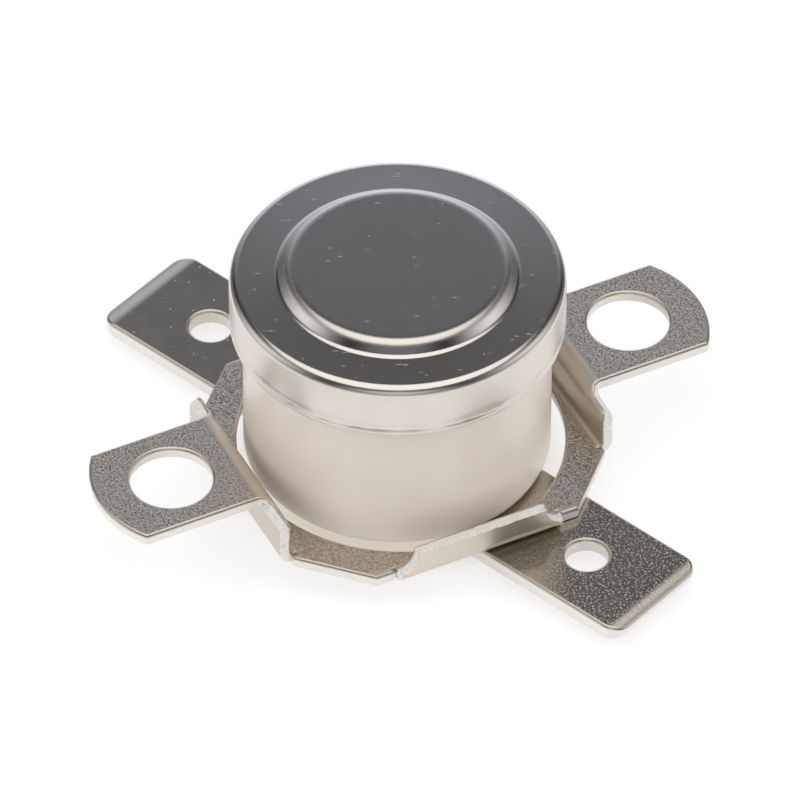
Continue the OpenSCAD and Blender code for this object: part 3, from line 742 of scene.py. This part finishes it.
class SWITCH_OT_bracket(Operator):
    """Fold the mounting bracket from its flat pattern"""
    bl_idname = "snapswitch.bracket"
    bl_label = "Bracket"

    # Fixed sizes of the flat pattern in millimetres
    EDGE_STEP, STEP = 0.08, 0.1  # longest edge of its outline, and of its arcs and holes
    FRACTURE = 0.025  # inset of the sheared edge's torn band
    BEND_CUTS, BESIDE = 8, 0.04  # faces across a bend, and distance to lines beside it
    EAR_MARGIN = 0.1  # distance from an ear to the deep tears
    SLIGHT = 0.2  # share of the tears' depth on the ears and in the holes
    BURNISH_FADE = 0.2  # width over which the burnish beside a bend fades

    def execute(self, context):
        settings = context.scene.snapswitch
        plating = settings.plating
        self.measure(settings.bracket)
        loops = [dense(self.outline(), self.EDGE_STEP), round_hole((0, 0), self.ring, self.STEP)]
        for side in (1, -1):
            loops.append(round_hole((side * (self.ear_place + self.unfold), 0), self.ear_hole, self.STEP))
        profile = sheared_profile(self.sheet, mm(settings.bracket.edge_roll), self.FRACTURE)
        mesh = sheet_mesh("folded_bracket", loops, profile, self.cuts(), self.tear, self.fold, self.burnish)
        grainy = plated("plated_sheet_grainy", plating, depth=0.015, pitted=0.95)
        rolled = rolled_edge("rolled_sheet_edge", plating)
        obj = piece(mesh, [grainy, sheared_metal(plating), rolled])
        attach(obj, "bracket")
        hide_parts("mounting_bracket")
        return {"FINISHED"}

    def measure(self, bracket):
        """Sizes of the bracket in millimetres, and the lengths that its bends take up."""
        for key in ("sheet", "ring", "end_bend", "side_bend", "bend", "corner_cut", "lip", "slit", "wall",
                    "ear_height", "shoulder_corner", "ear_fillet", "ear_width", "ear_reach", "ear_end",
                    "ear_hole", "ear_place", "flange", "flange_height", "runout", "burr"):
            setattr(self, key, mm(getattr(bracket, key)))
        self.angle, self.shoulder_turn = bracket.angle, bracket.shoulder_turn
        self.centre = [mm(c) for c in bracket.centre]
        self.outer = self.bend + self.sheet
        self.middle = self.bend + self.sheet / 2
        self.quarter = self.middle * math.pi / 2
        self.wall_rise = self.ear_height - 2 * self.outer
        self.ear_bend = self.end_bend + self.bend + self.outer
        self.upper_start = self.end_bend + self.quarter + self.wall_rise
        self.upper_end = self.end_bend + 2 * self.quarter + self.wall_rise
        self.unfold = self.upper_end - self.ear_bend

    def outline(self):
        """The flat pattern's outline, from a quarter of it."""
        step, half = self.STEP, self.ear_width / 2
        end_x = self.ear_reach - self.ear_end
        spread = math.degrees(math.asin(half / self.ear_end))
        quarter = [(x + self.unfold, y) for x, y in arc((end_x, 0), self.ear_end, 0, spread, step)]
        fillet_x = self.ear_bend - self.outer * math.cos(self.shoulder_turn)
        fillet = arc((fillet_x + self.ear_fillet, half + self.ear_fillet), self.ear_fillet, 270, 180, step)
        quarter += [(self.flat_x(x), y) for x, y in fillet]
        top = self.upper_start + self.middle * self.shoulder_turn
        side, corner = self.wall / 2, self.shoulder_corner
        quarter += arc((top - corner, side - corner), corner, 0, 90, step)
        quarter += [(self.end_bend, side), (self.end_bend, side + self.slit)]
        lip_x, lip_y = self.end_bend + self.lip, self.side_bend + self.lip
        reach = self.corner_cut * math.sqrt(2)
        quarter += [(lip_x, side + self.slit), (lip_x, reach - lip_x), (reach - lip_y, lip_y)]
        end = self.flange / 2 + self.runout
        quarter += [(end + self.slit, lip_y), (end + self.slit, self.side_bend), (end, self.side_bend)]
        foot = self.side_bend + self.quarter
        quarter += arc((end, foot + self.runout), self.runout, 270, 180, step)
        quarter += [(self.flange / 2, foot + self.flange_height - self.outer)]
        half_loop = quarter + [(-x, y) for x, y in reversed(quarter)]
        return half_loop + [(x, -y) for x, y in reversed(half_loop)]

    def flat_x(self, x):
        """Where a point of the ear's plan lies in the flat pattern."""
        if x >= self.ear_bend:
            return x + self.unfold
        angle = math.acos(min(1.0, (self.ear_bend - x) / self.outer))
        return self.upper_start + self.middle * angle

    def cuts(self):
        """Lines across the flat pattern at which its bends are divided."""
        beside = self.BESIDE / self.quarter
        inside = [i / self.BEND_CUTS for i in range(self.BEND_CUTS + 1)]
        lines = []
        for part in (-5 * beside, -beside, *inside, 1 + beside, 1 + 5 * beside):
            along = self.quarter * part
            for side in (1, -1):
                lines.append(((side * (self.end_bend + along), 0, 0), (1, 0, 0)))
                lines.append(((side * (self.upper_start + along), 0, 0), (1, 0, 0)))
                lines.append(((0, side * (self.side_bend + along), 0), (0, 1, 0)))
        return lines

    def tear(self, x, y):
        """Depth of the tears: deep on the shoulders and flanges, slight on the ears and in the holes."""
        on_flange = abs(y) > self.side_bend + self.quarter
        beside_ear = abs(y) > self.ear_width / 2 + self.EAR_MARGIN
        on_wall = beside_ear and abs(x) > self.end_bend + self.quarter
        return self.burr if on_flange or on_wall else self.burr * self.SLIGHT

    def burnish(self, x, y):
        """How far bending has smoothed the plating at a point: 1 in the bends and on the walls."""
        out = min(abs(x) - self.end_bend, self.upper_end - abs(x))
        return max(0.0, min(1.0, 1 + max(out, abs(y) - self.side_bend) / self.BURNISH_FADE))

    def fold(self, x, y, z):
        """A point of the flat pattern, at a height in the sheet, where the folded bracket has it."""
        across = self.slit / 2
        if abs(x) > self.end_bend and abs(y) < self.wall / 2 + across:
            out, up = self.bent(abs(x) - self.end_bend, z, True)
            x, z = math.copysign(self.end_bend + out, x), up
        elif abs(y) > self.side_bend and abs(x) < self.flange / 2 + self.runout + across:
            out, up = self.bent(abs(y) - self.side_bend, z, False)
            y, z = math.copysign(self.side_bend + out, y), up
        c, s = math.cos(self.angle), math.sin(self.angle)
        return Vector((self.centre[0] + c * x - s * y, self.centre[1] + s * x + c * y, self.centre[2] + z))

    def bent(self, along, z, ear):
        """Section of a sheet that is bent up, and for an ear out again: (outwards, up)."""
        if along < self.quarter:
            angle = along / self.middle
            radius = self.outer - z
            return radius * math.sin(angle), self.outer - radius * math.cos(angle)
        along -= self.quarter
        if not ear or along < self.wall_rise:
            return self.outer - z, self.outer + along
        angle = min(math.pi / 2, (along - self.wall_rise) / self.middle)
        radius = self.bend + z
        flat = max(0.0, along - self.wall_rise - self.quarter)
        out = self.bend + self.outer - radius * math.cos(angle) + flat
        return out, self.outer + self.wall_rise + radius * math.sin(angle)


class SWITCH_OT_blade(Operator):
    """Draw the contact blade, which bends at its root as the contacts open"""
    bl_idname = "snapswitch.blade"
    bl_label = "Contact blade"

    # Fixed sizes in millimetres
    STEP = 0.1  # longest edge of the outline
    CONTACT_HOLE = 0.63  # radius of the hole for the contact
    ROLL, FRACTURE = 0.03, 0.008  # width of the rolled edge, and inset of the torn band
    BEND_FROM, BEND_TO = -0.3, 0.9  # ends of the bend, from the rounded root's edge
    BEND_CUTS = 12  # faces along the bend

    def execute(self, context):
        settings = context.scene.snapswitch
        low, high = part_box("contact_blade")
        half, sheet, base = mm(high.y), mm(high.z - low.z), mm(low.z)
        root, end = mm(low.x) + half, mm(high.x) - half
        outline = arc((end, 0), half, -90, 90, self.STEP) + arc((root, 0), half, 90, 270, self.STEP)
        rivet = round_hole((root, 0), mm(settings.tab.rivet_hole), self.STEP)
        contact = round_hole((end, 0), self.CONTACT_HOLE, self.STEP)
        start, stop = root + half + self.BEND_FROM, root + half + self.BEND_TO
        lines = [start + (stop - start) * i / self.BEND_CUTS for i in range(self.BEND_CUTS + 1)]
        mesh = sheet_mesh("contact_blade_strip", [dense(outline, self.STEP), rivet, contact],
                          sheared_profile(sheet, self.ROLL, self.FRACTURE),
                          [((x, 0, 0), (1, 0, 0)) for x in lines], lambda x, y: 0.0,
                          lambda x, y, z: Vector((x, y, base + z)))
        strip = rolled_metal("spring_strip", settings.plating.spring)
        obj = piece(mesh, [strip, strip, strip])
        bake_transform(obj)
        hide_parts("contact_blade")
        dress("fixed_strip", strip)
        return {"FINISHED"}


class SWITCH_OT_small_metal(Operator):
    """Finish the rivets, the contact buttons and the snap disc"""
    bl_idname = "snapswitch.small_metal"
    bl_label = "Rivets, contacts and disc"

    def execute(self, context):
        plating = context.scene.snapswitch.plating
        rivet = plated("plated_rivet", plating, depth=0.006, pitted=0.2)
        button = rolled_metal("contact_button", plating.contact)
        for node in ("rivet_blade_side", "rivet_contact_side"):
            dress(node, rivet)
        for node in ("moving_contact", "fixed_contact"):
            dress(node, button)
        dress("bimetal_disc", rolled_metal("bimetal_sheet", plating.bimetal))
        return {"FINISHED"}


class SWITCH_OT_stage(Operator):
    """Set up the pale floor, the soft light and the camera"""
    bl_idname = "snapswitch.stage"
    bl_label = "Stage"

    # Light that metal mirrors, by height over the horizon: (sine of the height, light, blue tint)
    CEILING = ((0.75, 0.022, -0.08), (0.79, 0.022, -0.08), (0.805, 0.2, 0.0), (0.835, 0.9, 0.0),
               (1.0, 1.0, 0.0))
    BAND = ((0.67, 0.125, 0.28), (0.695, 0.075, 0.24), (0.72, 0.05, 0.0), *CEILING)
    BACK = ((0.0, 0.73, 0.26), (0.4, 0.7, 0.26), (0.48, 0.54, 0.26), (0.6, 0.26, 0.26), *BAND)
    FRONT = ((0.0, 0.2, 0.0), (0.12, 0.32, 0.05), (0.25, 0.72, 0.08), (0.48, 0.54, 0.14),
             (0.6, 0.26, 0.22), *BAND)
    SIDES = ((0.0, 0.45, 0.0), (0.2, 0.66, 0.05), (0.35, 0.8, 0.05), (0.6, 0.55, 0.05), (0.7, 0.3, 0.05),
             (0.79, 0.14, 0.0), (0.835, 0.9, 0.0), (1.0, 1.0, 0.0))
    GAPS = ((0.0, 0.13, 0.0), (0.12, 0.11, 0.0), (0.28, 0.025, 0.0), (0.62, 0.025, 0.0), (0.7, 0.05, 0.1),
            *CEILING)
    GREEN_OF_BLUE = 0.25  # share of the blue tint that green gets

    # Lamps: size, then distance towards the camera, to the side and up from the lit point, in metres
    AIM = (0, 0, 0.006)
    OVERHEAD = (0.8, 0.0, 0.0, 0.8)
    ASIDE = (0.5, 0.1, 0.7, 0.4)

    GLOW, SHADOW = 0.73, 0.28  # floor's own light, and the tone on which its shadow falls
    FLOOR_GAP = 0.02  # millimetres from the floor up to the switch
    SENSOR, CLIP = 36, (0.01, 10)  # camera's sensor in mm, and the range that it sees in metres

    def execute(self, context):
        stage = context.scene.snapswitch.stage
        context.scene.view_settings.view_transform = "Standard"
        self.camera(context.scene, stage)
        self.floor(stage)
        self.world(context.scene, stage)
        aim = Vector(self.AIM)
        towards = Vector((math.sin(stage.azimuth), -math.cos(stage.azimuth), 0))
        right = Vector((math.cos(stage.azimuth), math.sin(stage.azimuth), 0))
        for name, watts, side, (size, near, across, up) in (
                ("ceiling_light", stage.ceiling, 1, self.OVERHEAD),
                ("left_light", stage.left, -1, self.ASIDE),
                ("right_light", stage.right, 1, self.ASIDE)):
            place = aim + towards * near + right * side * across + Vector((0, 0, up))
            self.lamp(name, watts, size, place, aim)
        return {"FINISHED"}

    def camera(self, scene, stage):
        """The camera at the photograph's viewing angle."""
        data = bpy.data.cameras.new("camera")
        data.lens, data.sensor_width = stage.lens, self.SENSOR
        data.clip_start, data.clip_end = self.CLIP
        back = Vector((math.sin(stage.azimuth) * math.cos(stage.elevation),
                       -math.cos(stage.azimuth) * math.cos(stage.elevation), math.sin(stage.elevation)))
        scene.camera = placed("camera", data)
        aimed(scene.camera, Vector(stage.target) + back * stage.distance, -back, stage.roll)

    def floor(self, stage):
        """A pale floor, white where it is seen or mirrored but for a soft shadow, and clear from below."""
        bm = bmesh.new()
        bmesh.ops.create_grid(bm, x_segments=1, y_segments=1, size=stage.floor_size)
        mesh = bpy.data.meshes.new("floor")
        bm.to_mesh(mesh)
        bm.free()
        obj = placed("floor", mesh)
        obj.location.z = -self.FLOOR_GAP * MM
        material = bpy.data.materials.new("pale_floor")
        material.use_nodes = True
        tree = Nodes(material.node_tree)
        tree.nodes.clear()
        plain = tree.add("BsdfDiffuse", {"Color": rgba(stage.floor)})
        shadow = tree.add("BsdfDiffuse", {"Color": rgba(self.SHADOW)})
        glow = tree.add("Emission", {"Color": self.shaded(tree, stage)})
        white = tree.add("AddShader", {0: shadow, 1: glow})
        upper = tree.add("MixShader", {0: self.shown(tree), 1: plain, 2: white})
        below = tree.add("NewGeometry", out="Backfacing")
        clear = tree.add("BsdfTransparent")
        both = tree.add("MixShader", {0: below, 1: upper, 2: clear})
        tree.node("OutputMaterial", {"Surface": both})
        mesh.materials.append(material)

    def shaded(self, tree, stage):
        """The floor's own light: white, with a painted warm shadow right under the body."""
        place = tree.add("TexCoord", out="Object")
        far = tree.add("VectorMath", {0: place}, "Value", operation="LENGTH")
        reach = {"Value": far, "From Min": stage.shade_inner, "From Max": stage.shade_outer}
        faded = tree.add("MapRange", reach, "Result")
        return tree.mix(faded, stage.shade, self.GLOW)

    def shown(self, tree):
        """1 for rays from the camera, mirrored or let through, and 0 for the rest."""
        path = tree.node("LightPath").outputs
        seen = tree.math("MAXIMUM", path["Is Camera Ray"], path["Is Glossy Ray"])
        return tree.math("MAXIMUM", seen, path["Is Transmission Ray"])

    def world(self, scene, stage):
        """The studio: what metal mirrors, an even light for plain surfaces, and white for the camera.

        Metal mirrors a panel on each of four sides, dark gaps between them, a dark band and a ceiling."""
        world = bpy.data.worlds.new("studio")
        world.use_nodes = True
        scene.world = world
        tree = Nodes(world.node_tree)
        tree.nodes.clear()
        place = tree.add("TexCoord", out="Generated")
        turned = tree.add("Mapping", {"Vector": place, "Rotation": (0, 0, -stage.azimuth)})
        split = tree.node("SeparateXYZ", {0: turned}).outputs

        def by_height(stops):
            return tree.ramp(split["Z"], *(
                (sine, (light, light * (1 + blue * self.GREEN_OF_BLUE), light * (1 + blue)))
                for sine, light, blue in stops))

        around = tree.math("ARCTAN2", split["Y"], split["X"])
        away = tree.math("SINE", around)
        back = tree.math("MAXIMUM", away, 0.0)
        front = tree.math("MAXIMUM", tree.math("MULTIPLY", away, -1.0), 0.0)
        gap = tree.math("SINE", tree.math("MULTIPLY", around, 2.0))
        sky = by_height(self.SIDES)
        for part, stops in ((back, self.BACK), (front, self.FRONT), (gap, self.GAPS)):
            sky = tree.mix(tree.math("MULTIPLY", part, part), sky, by_height(stops))
        path = tree.node("LightPath").outputs
        light = tree.add("Background", {"Color": sky, "Strength": stage.studio})
        for ray, strength in (("Is Diffuse Ray", stage.ambient), ("Is Camera Ray", 1.0)):
            even = tree.add("Background", {"Color": rgba(1.0), "Strength": strength})
            light = tree.add("MixShader", {0: path[ray], 1: light, 2: even})
        tree.node("OutputWorld", {"Surface": light})

    def lamp(self, name, watts, size, place, aim):
        """A soft round light that looks at a point, and that metal doesn't mirror."""
        data = bpy.data.lights.new(name, "AREA")
        data.energy, data.size, data.shape = watts, size, "DISK"
        obj = placed(name, data)
        obj.visible_glossy = False
        aimed(obj, place, aim - place)


class SWITCH_PT_panel(Panel):
    """Lists the pieces of the switch"""
    bl_label = "Temperature switch"
    bl_idname = "SWITCH_PT_panel"
    bl_space_type = "VIEW_3D"
    bl_region_type = "UI"
    bl_category = "Switch"

    def draw(self, context):
        for step in STEPS:
            self.layout.operator(step.bl_idname)


GROUPS = (CapSettings, CeramicSettings, TabSettings, BracketSettings, PlatingSettings, StageSettings,
          SwitchSettings)
STEPS = (SWITCH_OT_cap, SWITCH_OT_ceramic, SWITCH_OT_tabs, SWITCH_OT_bracket, SWITCH_OT_blade,
         SWITCH_OT_small_metal, SWITCH_OT_stage)
CLASSES = (*GROUPS, *STEPS, SWITCH_PT_panel)


def register():
    for cls in CLASSES:
        bpy.utils.register_class(cls)
    bpy.types.Scene.snapswitch = PointerProperty(type=SwitchSettings)


def unregister():
    del bpy.types.Scene.snapswitch
    for cls in reversed(CLASSES):
        bpy.utils.unregister_class(cls)


def main():
    """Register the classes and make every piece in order."""
    register()
    make = bpy.ops.snapswitch
    make.cap()
    make.ceramic()
    make.tabs()
    make.bracket()
    make.blade()
    make.small_metal()
    make.stage()


if __name__ == "__main__":
    main()
